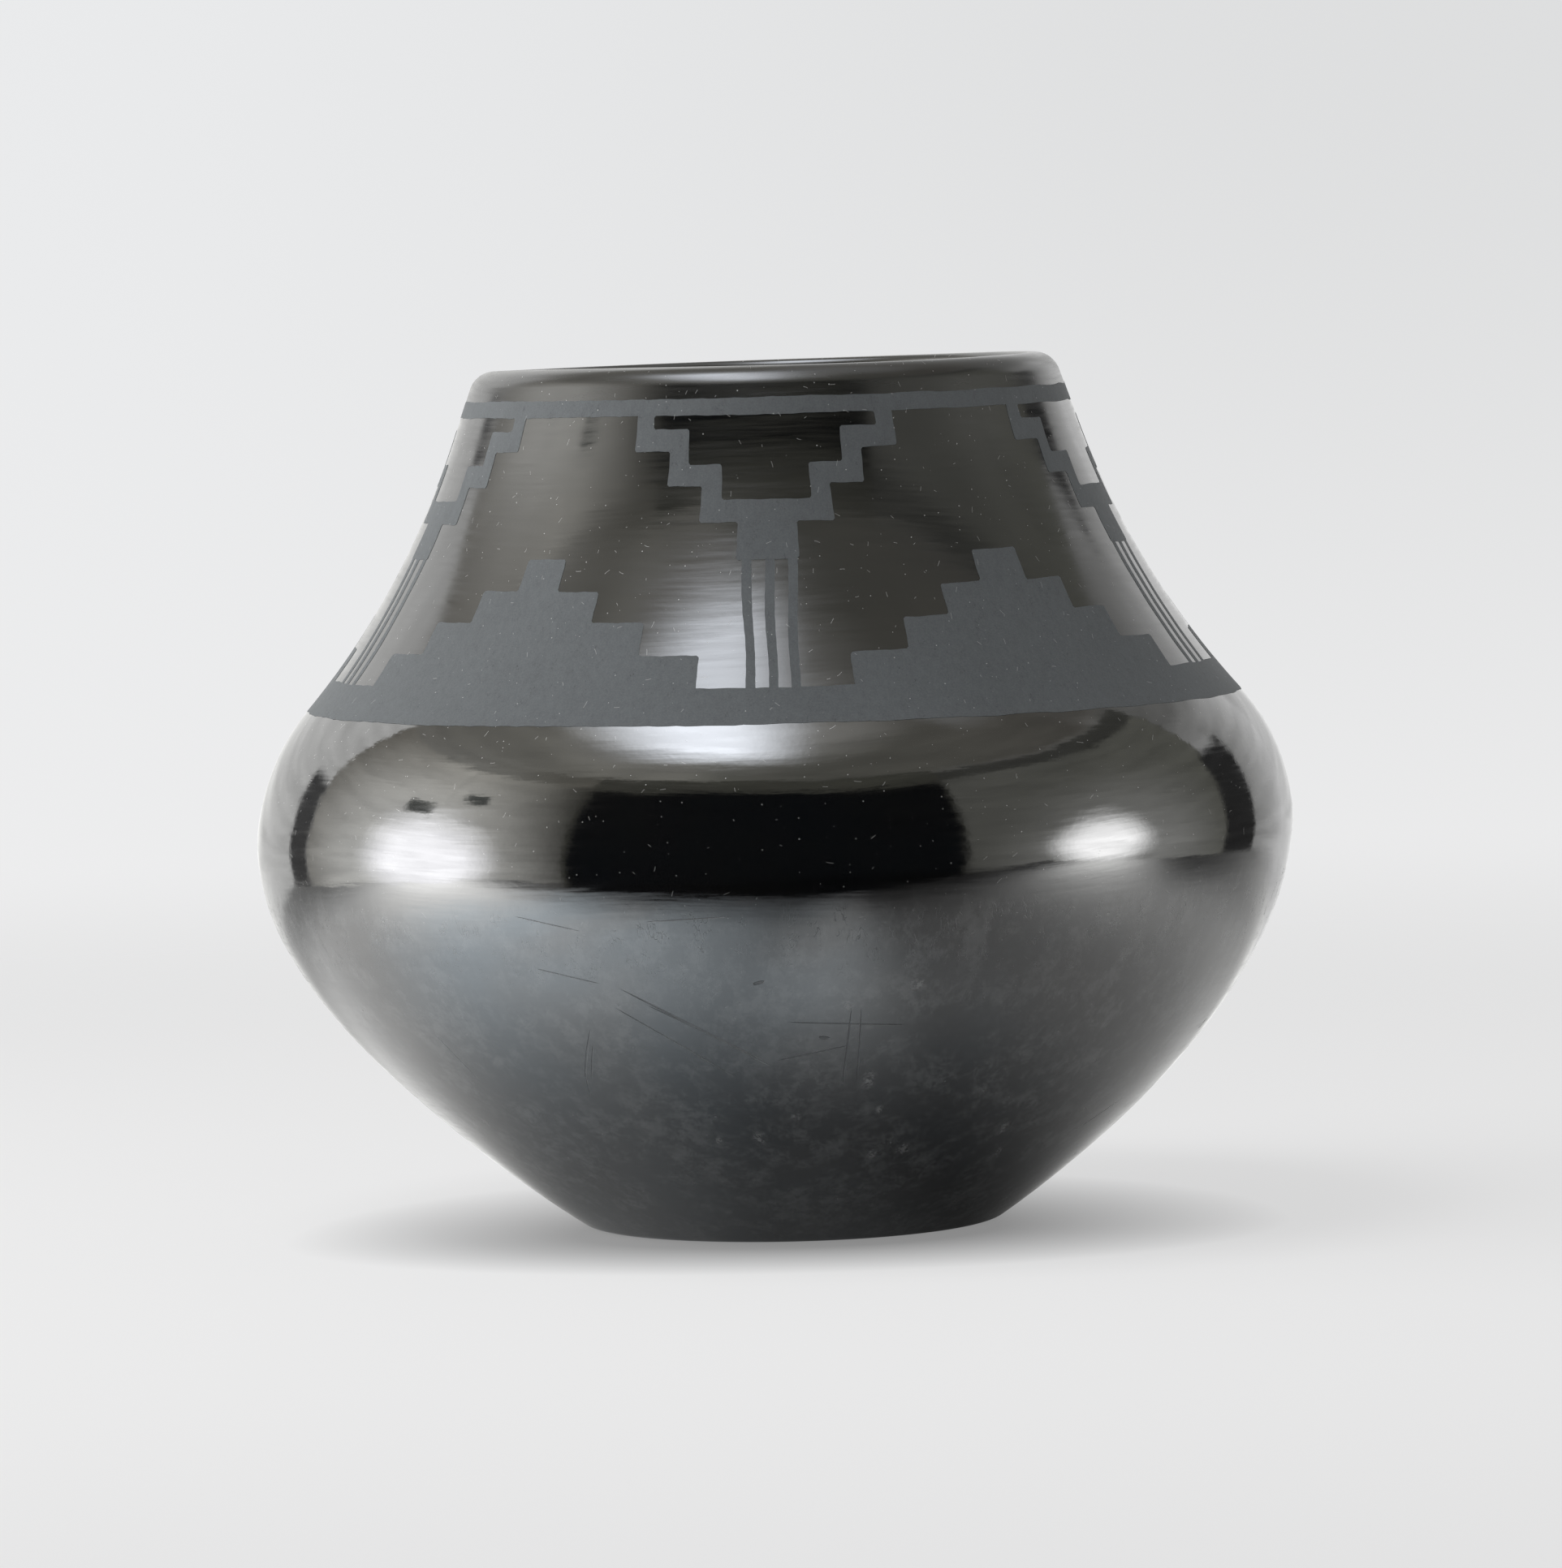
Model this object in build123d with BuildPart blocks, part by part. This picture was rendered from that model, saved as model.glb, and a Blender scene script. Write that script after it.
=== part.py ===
from build123d import *

import os
from math import asin, cos, degrees, radians, sin

# Coil-built burnished jar with a band of matte slip painted round its neck and shoulder.
#
# Millimetres, +Z up. The origin is the centre of the foot, on the surface the jar stands on.
#
# The jar is made as a potter makes it. A pat of clay is pressed into a shallow mould for the base.
# Rings of clay, laid one on another, are pinched up into the wall, and each is lapped down inside
# the one below. The last ring carries the lip. The outside is burnished, and a band of matte slip
# is painted over it. Firing joins all of it into one pot.

# Outline of the outside, from the widest point down to the foot
girth_radius = 127.0
girth_height = 96.0
lower_belly_curve = 54.0
lower_wall_curve = 118.0
foot_corner_radius = 50.6
foot_rounding = 6.5

# Outline of the outside, from the widest point up to the lip
upper_belly_curve = 48.5
shoulder_hollow = 198.0
neck_length = 13.9
lip_inner_rounding = 2.0

# Angles of the outward normal, below level and above it, where one curve meets the next
lower_belly_angle = 26.0
lower_wall_angle = 42.5
upper_belly_angle = 41.5
neck_angle = 19.3

# Clay
wall_thickness = 7.0
base_thickness = 9.0
floor_rounding = 25.0
foot_ring_width = 9.0
foot_hollow_depth = 1.5

# Courses: how far the pressed base and the rim coil reach, and how the joints are lapped
base_reach = 40.0
rim_coil_depth = 15.0
wall_coil_count = 6
lap_angle = 45.0
cut_overrun = 15.0

# Matte slip, with the clearance that keeps its patches from cutting into the clay
slip_thickness = 0.2
slip_clearance = 0.1
polished_rim_depth = 7.4
neck_line_depth = 4.0
polished_belly_rise = 32.5
shoulder_band_depth = 8.0

# Painted figures, in repeats round the jar from its front, as widths in shares of a repeat
front_angle = -90.0
repeat_count = 5
hanging_step_depth = 8.5
hanging_width_shares = (0.64, 0.46, 0.29, 0.12)
rising_step_depth = 7.5
rising_width_shares = (0.72, 0.50, 0.30, 0.11)
rain_line_count = 3
rain_line_width = 2.2
rain_line_gap = 2.8


def step_from(point, distance, direction):
    """The point at a distance, in a direction given in degrees above level."""
    angle = radians(direction)
    return point[0] + distance * cos(angle), point[1] + distance * sin(angle)


# The curves of the outside share a tangent where they meet, so each centre follows from the last
lower_belly_centre = (girth_radius - lower_belly_curve, girth_height)
lower_belly_end = step_from(lower_belly_centre, lower_belly_curve, -lower_belly_angle)
lower_wall_centre = step_from(lower_belly_end, -lower_wall_curve, -lower_belly_angle)
lower_wall_end = step_from(lower_wall_centre, lower_wall_curve, -lower_wall_angle)

# The last curve below runs from there to the foot's corner, and its chord gives its radius
foot_run = (lower_wall_end[0] - foot_corner_radius, lower_wall_end[1])
foot_dip = radians(lower_wall_angle)
foot_bulge = foot_run[0] * cos(foot_dip) - foot_run[1] * sin(foot_dip)
foot_wall_curve = (foot_run[0] ** 2 + foot_run[1] ** 2) / (2 * foot_bulge)
foot_wall_centre = step_from(lower_wall_end, -foot_wall_curve, -lower_wall_angle)

upper_belly_centre = (girth_radius - upper_belly_curve, girth_height)
upper_belly_end = step_from(upper_belly_centre, upper_belly_curve, upper_belly_angle)
shoulder_centre = step_from(upper_belly_end, shoulder_hollow, upper_belly_angle)
neck_start = step_from(shoulder_centre, -shoulder_hollow, neck_angle)
neck_end = step_from(neck_start, neck_length, neck_angle + 90)

# The lip's outer rounding is what the wall leaves beside its inner one
neck_lean = sin(radians(neck_angle))
lip_rounding = (wall_thickness - lip_inner_rounding * (1 + neck_lean)) / (1 - neck_lean)
lip_centre = step_from(neck_end, -lip_rounding, neck_angle)
jar_height = lip_centre[1] + lip_rounding
lip_inner_centre = (lip_centre[0], jar_height - lip_inner_rounding)

# Centre, radius and last normal of each curve, going up; a hollow curve's radius is negative
lower_curves = (
    (foot_wall_centre, foot_wall_curve, -lower_wall_angle),
    (lower_wall_centre, lower_wall_curve, -lower_belly_angle),
    (lower_belly_centre, lower_belly_curve, 0),
)
upper_curves = (
    (upper_belly_centre, upper_belly_curve, upper_belly_angle),
    (shoulder_centre, -shoulder_hollow, neck_angle),
)

# Heights of the joints between courses, on the outside
rim_joint = jar_height - rim_coil_depth
course_rise = (rim_joint - base_reach) / wall_coil_count

# Heights of the painting
neck_line_top = jar_height - polished_rim_depth
neck_line_bottom = neck_line_top - neck_line_depth
shoulder_band_bottom = girth_height + polished_belly_rise
shoulder_band_top = shoulder_band_bottom + shoulder_band_depth
hanging_tip = neck_line_bottom - hanging_step_depth * len(hanging_width_shares)
repeat_angle = 360 / repeat_count


def floor_curve(depth, floor_height, rounding):
    """The centre and last normal of the curve that runs the wall, at a depth, into its floor."""
    reach = foot_wall_curve - depth - rounding
    normal = -degrees(asin((foot_wall_centre[1] - floor_height - rounding) / reach))
    return step_from(foot_wall_centre, reach, normal), normal


def draw_curve(centre, radius, first_normal, last_normal):
    """Draws one arc between two outward normals."""
    turned = 180 if radius < 0 else 0
    CenterArc(centre, abs(radius), first_normal + turned, last_normal - first_normal)


def draw_lower_side(depth, floor_height, rounding):
    """Draws the floor and the wall up to the widest point, at a depth under the outside."""
    corner, normal = floor_curve(depth, floor_height, rounding)
    Line((0, floor_height), (corner[0], floor_height))
    draw_curve(corner, rounding, -90, normal)
    for centre, radius, last_normal in lower_curves:
        draw_curve(centre, radius - depth, normal, last_normal)
        normal = last_normal


def draw_upper_side(depth, neck_top):
    """Draws the wall from the widest point to the top of the neck, at a depth."""
    normal = 0
    for centre, radius, last_normal in upper_curves:
        draw_curve(centre, radius - depth, normal, last_normal)
        normal = last_normal
    Line(step_from(neck_start, -depth, neck_angle), neck_top)


def draw_outer_lip(depth):
    """Draws the outside from the widest point over the lip to its top, at a depth."""
    draw_upper_side(depth, step_from(neck_end, -depth, neck_angle))
    draw_curve(lip_centre, lip_rounding - depth, neck_angle, 90)


def draw_inner_lip():
    """Draws the inside from the widest point to the top of the lip."""
    draw_upper_side(wall_thickness, step_from(lip_inner_centre, -lip_inner_rounding, neck_angle))
    draw_curve(lip_inner_centre, lip_inner_rounding, 90, neck_angle + 180)


def draw_wall():
    """Draws the closed half section of the whole floor, wall and lip."""
    draw_lower_side(0, 0, foot_rounding)
    draw_outer_lip(0)
    draw_inner_lip()
    draw_lower_side(wall_thickness, base_thickness, floor_rounding)
    Line((0, 0), (0, base_thickness))


def outside_at(height):
    """The point of the outside at a height, and its outward normal."""
    for centre, radius, last_normal in lower_curves + upper_curves:
        if height <= step_from(centre, radius, last_normal)[1]:
            normal = degrees(asin((height - centre[1]) / radius))
            return step_from(centre, radius, normal), normal
    climb = (height - neck_start[1]) / cos(radians(neck_angle))
    return step_from(neck_start, climb, neck_angle + 90), neck_angle


def lap_line(height):
    """A lapped joint, from outside the wall at a height to a lower place inside it."""
    point, normal = outside_at(height)
    inward = normal + 180 + lap_angle
    crossing = wall_thickness / cos(radians(lap_angle))
    return step_from(point, -cut_overrun, inward), step_from(point, crossing + cut_overrun, inward)


def wall_section(region):
    """What lies of the wall's half section inside a region, given by its corners."""
    with BuildSketch() as section:
        with BuildLine():
            draw_wall()
        make_face()
        with BuildLine():
            Polyline(*region, close=True)
        make_face(mode=Mode.INTERSECT)
    return section.sketch


def finish_piece(piece, name):
    """Names a piece and writes its file."""
    piece.part.label = name
    export_step(piece.part, f"parts/{name}.step")


def make_pressed_base():
    """The base, up to the first joint. A shallow hollow under the foot leaves a ring to stand on."""
    outer_end, inner_end = lap_line(base_reach)
    below = ((0, inner_end[1]), (0, -cut_overrun), (girth_radius, -cut_overrun))
    foot_edge, _ = floor_curve(0, 0, foot_rounding)
    hollow_radius = foot_edge[0] - foot_ring_width
    with BuildPart() as pressed_base:
        with BuildSketch(Plane.XZ):
            add(wall_section((*below, outer_end, inner_end)))
            with BuildLine():
                hollow = SagittaArc((-hollow_radius, 0), (hollow_radius, 0), foot_hollow_depth)
                Line(hollow @ 1, hollow @ 0)
            make_face(mode=Mode.SUBTRACT)
        revolve(axis=Axis.Z)
    finish_piece(pressed_base, "pressed_base")


def make_wall_coil(number):
    """One ring of clay, lapped down inside the course below it."""
    low = base_reach + course_rise * (number - 1)
    low_outer, low_inner = lap_line(low)
    high_outer, high_inner = lap_line(low + course_rise)
    with BuildPart() as wall_coil:
        with BuildSketch(Plane.XZ):
            add(wall_section((low_outer, high_outer, high_inner, low_inner)))
        revolve(axis=Axis.Z)
    finish_piece(wall_coil, f"wall_coil_{number}")


def make_rim_coil():
    """The last ring, from the last joint up, with the rounded lip."""
    outer_end, inner_end = lap_line(rim_joint)
    over_lip = jar_height + cut_overrun
    above = ((girth_radius, over_lip), (0, over_lip), (0, inner_end[1]))
    with BuildPart() as rim_coil:
        with BuildSketch(Plane.XZ):
            add(wall_section((outer_end, *above, inner_end)))
        revolve(axis=Axis.Z)
    finish_piece(rim_coil, "rim_coil")


def slip_section(low, high):
    """The half section of the coat of matte slip between two heights."""
    inner = slip_clearance
    outer = slip_clearance + slip_thickness
    with BuildSketch() as section:
        with BuildLine():
            draw_outer_lip(-inner)
            draw_outer_lip(-outer)
            Line((girth_radius + inner, girth_height), (girth_radius + outer, girth_height))
            Line((lip_centre[0], jar_height + inner), (lip_centre[0], jar_height + outer))
        make_face()
        with Locations((0, low)):
            Rectangle(
                girth_radius + cut_overrun,
                high - low,
                align=(Align.MIN, Align.MIN),
                mode=Mode.INTERSECT,
            )
    return section.sketch


def make_painted_line(name, low, high):
    """A painted line all round the jar."""
    with BuildPart() as painted_line:
        with BuildSketch(Plane.XZ):
            add(slip_section(low, high))
        revolve(axis=Axis.Z)
    finish_piece(painted_line, name)


def stepped_figure(start, step, width_shares):
    """One painted figure at the front: its steps go up or down from a height."""
    with BuildPart() as figure:
        for count, share in enumerate(width_shares):
            ends = (start + step * count, start + step * (count + 1))
            half_angle = share * repeat_angle / 2
            with BuildSketch(Plane.XZ.rotated((0, 0, front_angle - half_angle))):
                add(slip_section(min(ends), max(ends)))
            revolve(axis=Axis.Z, revolution_arc=2 * half_angle)
    return figure.part


def make_terraces(name, figure, turn):
    """The same painted figure in every repeat, turned on from the front."""
    with BuildPart() as terraces:
        with PolarLocations(0, repeat_count, start_angle=turn):
            add(figure)
    finish_piece(terraces, name)


def make_rain_lines():
    """Straight painted strokes from the tip of each hanging terrace to the shoulder band."""
    with BuildPart() as rain_lines:
        with BuildSketch(Plane.XZ):
            add(slip_section(shoulder_band_top, hanging_tip))
        revolve(axis=Axis.Z)
        with BuildSketch(Plane.XY.offset(shoulder_band_top)):
            with PolarLocations(girth_radius, repeat_count, start_angle=front_angle):
                with GridLocations(0, rain_line_width + rain_line_gap, 1, rain_line_count):
                    Rectangle(girth_radius, rain_line_width)
        extrude(amount=hanging_tip - shoulder_band_top, mode=Mode.INTERSECT)
    finish_piece(rain_lines, "rain_lines")


os.makedirs("parts", exist_ok=True)

make_pressed_base()
for coil_number in range(1, wall_coil_count + 1):
    make_wall_coil(coil_number)
make_rim_coil()

make_painted_line("neck_line", neck_line_bottom, neck_line_top)
make_painted_line("shoulder_band", shoulder_band_bottom, shoulder_band_top)
hanging_figure = stepped_figure(neck_line_bottom, -hanging_step_depth, hanging_width_shares)
rising_figure = stepped_figure(shoulder_band_top, rising_step_depth, rising_width_shares)
make_terraces("hanging_terraces", hanging_figure, 0)
make_terraces("rising_terraces", rising_figure, repeat_angle / 2)
make_rain_lines()

print(f"jar {2 * girth_radius:.1f} wide and {jar_height:.1f} high, lip rounding {lip_rounding:.2f}")
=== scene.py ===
import math

import bpy
import numpy as np
from mathutils import Matrix, Vector
from mathutils.geometry import delaunay_2d_cdt


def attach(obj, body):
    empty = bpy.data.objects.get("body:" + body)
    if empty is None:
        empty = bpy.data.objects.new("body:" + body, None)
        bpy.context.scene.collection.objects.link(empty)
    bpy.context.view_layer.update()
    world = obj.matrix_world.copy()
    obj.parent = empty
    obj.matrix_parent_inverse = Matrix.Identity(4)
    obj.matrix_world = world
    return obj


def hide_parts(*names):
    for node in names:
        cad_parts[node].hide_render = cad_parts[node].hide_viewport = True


# Looks of the coil-built burnished jar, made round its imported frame. Metres, +Z up.
#
# Every clay course is one smooth closed ring, so its joints don't show once the jar is burnished.
# The outline repeats the courses' own arcs. A little unevenness of handwork goes over all of it,
# and the matte slip lies on the same surface as thin raised patches with brushed edges.

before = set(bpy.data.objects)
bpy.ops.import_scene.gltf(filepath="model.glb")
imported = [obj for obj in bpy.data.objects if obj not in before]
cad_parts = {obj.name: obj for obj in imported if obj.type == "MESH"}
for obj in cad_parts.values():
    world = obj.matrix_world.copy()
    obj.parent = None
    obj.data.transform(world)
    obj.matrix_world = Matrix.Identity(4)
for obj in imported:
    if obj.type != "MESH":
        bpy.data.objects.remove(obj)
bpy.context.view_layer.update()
rng = np.random.default_rng(7)

MM = 0.001

# Outline of the outside, from the widest point down to the foot
GIRTH_RADIUS = 127.0 * MM
GIRTH_HEIGHT = 96.0 * MM
LOWER_BELLY_CURVE = 54.0 * MM
LOWER_WALL_CURVE = 118.0 * MM
FOOT_CORNER_RADIUS = 50.6 * MM
FOOT_ROUNDING = 6.5 * MM

# Outline of the outside, from the widest point up to the lip
UPPER_BELLY_CURVE = 48.5 * MM
SHOULDER_HOLLOW = 198.0 * MM
NECK_LENGTH = 13.9 * MM
LIP_INNER_ROUNDING = 2.0 * MM

# Angles of the outward normal, below level and above it, where one curve meets the next
LOWER_BELLY_ANGLE = math.radians(26.0)
LOWER_WALL_ANGLE = math.radians(42.5)
UPPER_BELLY_ANGLE = math.radians(41.5)
NECK_ANGLE = math.radians(19.3)

# Clay and its courses
WALL = 7.0 * MM
BASE_THICKNESS = 9.0 * MM
FLOOR_ROUNDING = 25.0 * MM
FOOT_RING_WIDTH = 9.0 * MM
FOOT_HOLLOW_DEPTH = 1.5 * MM
BASE_REACH = 40.0 * MM
RIM_COIL_DEPTH = 15.0 * MM
WALL_COIL_COUNT = 6
LAP_ANGLE = math.radians(45.0)

# Painting
POLISHED_RIM_DEPTH = 7.4 * MM
NECK_LINE_DEPTH = 4.0 * MM
POLISHED_BELLY_RISE = 32.5 * MM
SHOULDER_BAND_DEPTH = 8.0 * MM
REPEATS = 5
HANGING_STEP_DEPTH = 8.5 * MM
HANGING_WIDTH_SHARES = (0.64, 0.46, 0.29, 0.12)
RISING_STEP_DEPTH = 7.5 * MM
RISING_WIDTH_SHARES = (0.72, 0.50, 0.30, 0.11)
RAIN_LINE_COUNT = 3
RAIN_LINE_WIDTH = 2.2 * MM
RAIN_LINE_GAP = 2.8 * MM
HANGING_WINDOW_STEPS = 3
WINDOW_INSET = 5.2 * MM
FIGURE_RADIUS = 90.0 * MM
FIGURE_JITTER = 0.35 * MM
STROKE_JITTER = 0.2 * MM

# How far each kind of slip stands above the clay, and how far its back and ends reach
STROKE_RISE = 0.05 * MM
SLIP_RISE = 0.065 * MM
BAND_RISE = 0.08 * MM
SLIP_ROOT = 0.25 * MM
SLIP_OVERLAP = 0.8 * MM

# Mesh density
TURN_STEPS = 320
ROW_SPACING = 1.8 * MM
TIGHT_SPACING = 0.6 * MM
TIGHT_CURVE = 10.0 * MM
PAINT_GRID = 2.4 * MM
EDGE_SPACING = 1.1 * MM
CORNER_CUT = 0.45 * MM

FRONT = -math.pi / 2
REPEAT_ANGLE = 2 * math.pi / REPEATS


def step_from(point, distance, direction):
    """The point at a distance, in a direction given in radians above level."""
    return point[0] + distance * math.cos(direction), point[1] + distance * math.sin(direction)


# Centres of the outline's arcs, each worked out from the tangent that it shares with the last
LOWER_BELLY_CENTRE = (GIRTH_RADIUS - LOWER_BELLY_CURVE, GIRTH_HEIGHT)
LOWER_BELLY_END = step_from(LOWER_BELLY_CENTRE, LOWER_BELLY_CURVE, -LOWER_BELLY_ANGLE)
LOWER_WALL_CENTRE = step_from(LOWER_BELLY_END, -LOWER_WALL_CURVE, -LOWER_BELLY_ANGLE)
LOWER_WALL_END = step_from(LOWER_WALL_CENTRE, LOWER_WALL_CURVE, -LOWER_WALL_ANGLE)
FOOT_RUN = (LOWER_WALL_END[0] - FOOT_CORNER_RADIUS, LOWER_WALL_END[1])
FOOT_BULGE = FOOT_RUN[0] * math.cos(LOWER_WALL_ANGLE) - FOOT_RUN[1] * math.sin(LOWER_WALL_ANGLE)
FOOT_WALL_CURVE = (FOOT_RUN[0] ** 2 + FOOT_RUN[1] ** 2) / (2 * FOOT_BULGE)
FOOT_WALL_CENTRE = step_from(LOWER_WALL_END, -FOOT_WALL_CURVE, -LOWER_WALL_ANGLE)
UPPER_BELLY_CENTRE = (GIRTH_RADIUS - UPPER_BELLY_CURVE, GIRTH_HEIGHT)
UPPER_BELLY_END = step_from(UPPER_BELLY_CENTRE, UPPER_BELLY_CURVE, UPPER_BELLY_ANGLE)
SHOULDER_CENTRE = step_from(UPPER_BELLY_END, SHOULDER_HOLLOW, UPPER_BELLY_ANGLE)
NECK_START = step_from(SHOULDER_CENTRE, -SHOULDER_HOLLOW, NECK_ANGLE)
NECK_END = step_from(NECK_START, NECK_LENGTH, NECK_ANGLE + math.pi / 2)
NECK_LEAN = math.sin(NECK_ANGLE)
LIP_ROUNDING = (WALL - LIP_INNER_ROUNDING * (1 + NECK_LEAN)) / (1 - NECK_LEAN)
LIP_CENTRE = step_from(NECK_END, -LIP_ROUNDING, NECK_ANGLE)
JAR_HEIGHT = LIP_CENTRE[1] + LIP_ROUNDING
LIP_INNER_CENTRE = (LIP_CENTRE[0], JAR_HEIGHT - LIP_INNER_ROUNDING)

LOWER_ARCS = (
    (FOOT_WALL_CENTRE, FOOT_WALL_CURVE, -LOWER_WALL_ANGLE),
    (LOWER_WALL_CENTRE, LOWER_WALL_CURVE, -LOWER_BELLY_ANGLE),
    (LOWER_BELLY_CENTRE, LOWER_BELLY_CURVE, 0.0),
)
UPPER_ARCS = (
    (UPPER_BELLY_CENTRE, UPPER_BELLY_CURVE, UPPER_BELLY_ANGLE),
    (SHOULDER_CENTRE, -SHOULDER_HOLLOW, NECK_ANGLE),
)

RIM_JOINT = JAR_HEIGHT - RIM_COIL_DEPTH
COURSE_RISE = (RIM_JOINT - BASE_REACH) / WALL_COIL_COUNT
NECK_LINE_TOP = JAR_HEIGHT - POLISHED_RIM_DEPTH
NECK_LINE_BOTTOM = NECK_LINE_TOP - NECK_LINE_DEPTH
SHOULDER_BAND_BOTTOM = GIRTH_HEIGHT + POLISHED_BELLY_RISE
SHOULDER_BAND_TOP = SHOULDER_BAND_BOTTOM + SHOULDER_BAND_DEPTH
HANGING_TIP = NECK_LINE_BOTTOM - HANGING_STEP_DEPTH * len(HANGING_WIDTH_SHARES)


def floor_curve(depth, floor_height, rounding):
    """The centre and last normal of the curve that runs the wall, at a depth, into its floor."""
    reach = FOOT_WALL_CURVE - depth - rounding
    normal = -math.asin((FOOT_WALL_CENTRE[1] - floor_height - rounding) / reach)
    return step_from(FOOT_WALL_CENTRE, reach, normal), normal


def arc_rows(centre, radius, first, last):
    """Rows (radius, height, normal) along an arc, between two normals, its last left out."""
    spacing = TIGHT_SPACING if abs(radius) < TIGHT_CURVE else ROW_SPACING
    count = max(3, math.ceil(abs(radius * (last - first)) / spacing))
    normals = [first + (last - first) * k / count for k in range(count)]
    return [(*step_from(centre, radius, n), n) for n in normals]


def side_rows(depth, floor_height, rounding):
    """Rows from the floor's corner up to the top of the neck, at a depth under the outside."""
    corner, normal = floor_curve(depth, floor_height, rounding)
    rows = arc_rows(corner, rounding, -math.pi / 2, normal)
    for centre, radius, last in LOWER_ARCS + UPPER_ARCS:
        rows += arc_rows(centre, radius - depth, normal, last)
        normal = last
    return rows


def neck_rows(depth, length):
    """Rows up the straight of the neck, its last left out."""
    start = step_from(NECK_START, -depth, NECK_ANGLE)
    count = math.ceil(length / ROW_SPACING)
    return [
        (*step_from(start, length * k / count, NECK_ANGLE + math.pi / 2), NECK_ANGLE)
        for k in range(count)
    ]


def outside_rows():
    """Rows of the outside, from the foot's corner to the top of the lip."""
    rows = side_rows(0.0, 0.0, FOOT_ROUNDING) + neck_rows(0.0, NECK_LENGTH)
    rows += arc_rows(LIP_CENTRE, LIP_ROUNDING, NECK_ANGLE, math.pi / 2)
    return rows + [(LIP_CENTRE[0], JAR_HEIGHT, math.pi / 2)]


def inside_rows():
    """Rows of the inside, from the floor's corner to the top of the lip."""
    lip_start = step_from(LIP_INNER_CENTRE, -LIP_INNER_ROUNDING, NECK_ANGLE)
    neck_foot = step_from(NECK_START, -WALL, NECK_ANGLE)
    rows = side_rows(WALL, BASE_THICKNESS, FLOOR_ROUNDING)
    rows += neck_rows(WALL, math.dist(neck_foot, lip_start))
    rows += arc_rows(LIP_INNER_CENTRE, -LIP_INNER_ROUNDING, NECK_ANGLE, -math.pi / 2)
    return rows + [(LIP_CENTRE[0], JAR_HEIGHT, -math.pi / 2)]


def underside_rows():
    """Rows from the foot's centre to its corner: a shallow hollow and the flat ring round it."""
    corner, _ = floor_curve(0.0, 0.0, FOOT_ROUNDING)
    hollow_radius = corner[0] - FOOT_RING_WIDTH
    rows = []
    for radius in np.arange(0.0, hollow_radius, ROW_SPACING):
        share = radius / hollow_radius
        slope = math.atan(-2 * FOOT_HOLLOW_DEPTH * share / hollow_radius)
        rows.append((radius, FOOT_HOLLOW_DEPTH * (1 - share**2), slope - math.pi / 2))
    for radius in np.arange(hollow_radius, corner[0] - TIGHT_SPACING, ROW_SPACING):
        rows.append((radius, 0.0, -math.pi / 2))
    return rows


def floor_rows():
    """Rows across the floor inside, from its centre to its corner."""
    corner, _ = floor_curve(WALL, BASE_THICKNESS, FLOOR_ROUNDING)
    radii = np.arange(0.0, corner[0] - TIGHT_SPACING, ROW_SPACING)
    return [(radius, BASE_THICKNESS, -math.pi / 2) for radius in radii]


def outside_at(heights):
    """Radius and outward normal of the outside at heights between the girth and the lip."""
    heights = np.asarray(heights, float)
    radius = np.zeros_like(heights)
    normal = np.full_like(heights, NECK_ANGLE)
    slope = math.tan(NECK_ANGLE)
    radius[:] = NECK_START[0] - (heights - NECK_START[1]) * slope
    for centre, curve, last in reversed(UPPER_ARCS):
        inside = heights <= step_from(centre, curve, last)[1]
        angle = np.arcsin((heights[inside] - centre[1]) / curve)
        normal[inside] = angle
        radius[inside] = centre[0] + curve * np.cos(angle)
    return radius, normal


# Handwork: slow waves round and up the wall, each with its size, turns and rise
WAVE_SIZES = np.array((0.30, 0.14, 0.07, 0.045, 0.03, 0.022, 0.016, 0.012)) * MM
WAVE_TURNS = np.array((2, 3, 5, 4, 8, 7, 13, 11))
WAVE_LENGTHS = np.array((400.0, 210.0, 150.0, 90.0, 80.0, 52.0, 44.0, 27.0)) * MM
WAVE_STARTS = rng.uniform(0, 2 * math.pi, (2, len(WAVE_SIZES)))
CENTRE_FADE = 40.0 * MM
LIP_WAVE = 0.22 * MM
LIP_WAVE_START = 150.0 * MM
INSIDE_RIDGE = 0.16 * MM
INSIDE_RIDGE_PITCH = 8.5 * MM
INSIDE_RIDGE_END = 12.0 * MM
INSIDE_RIDGE_FADE = 20.0 * MM

# How far the middle of the jar strays sideways at the foot, at the lower belly and all over
FOOT_STRAY = 1.9 * MM
FOOT_STRAY_HEIGHT = 39.0 * MM
FOOT_STRAY_REACH = 8.0 * MM
BELLY_STRAY = -0.8 * MM
BELLY_STRAY_HEIGHT = 80.0 * MM
BELLY_STRAY_REACH = 24.0 * MM
WHOLE_STRAY = -0.2 * MM

# Where the wall is a little fuller or leaner than true: height, reach up and down, and by how
# much, all in millimetres
SWELLS = ((97.0, 7.0, 0.30), (79.0, 7.0, -0.10), (50.0, 10.0, -0.20), (15.0, 20.0, -0.13))

# The front of the shoulder and neck is fuller than the rest of them, more so higher up
FRONT_FULLNESS = 3.5 * MM
FRONT_REACH = math.radians(60.0)
FULLNESS_START = 132.0 * MM
FULLNESS_RISE = 26.0 * MM
FULLNESS_BLEND = 4.0 * MM
LIP_TILT = 0.6 * MM


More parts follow.
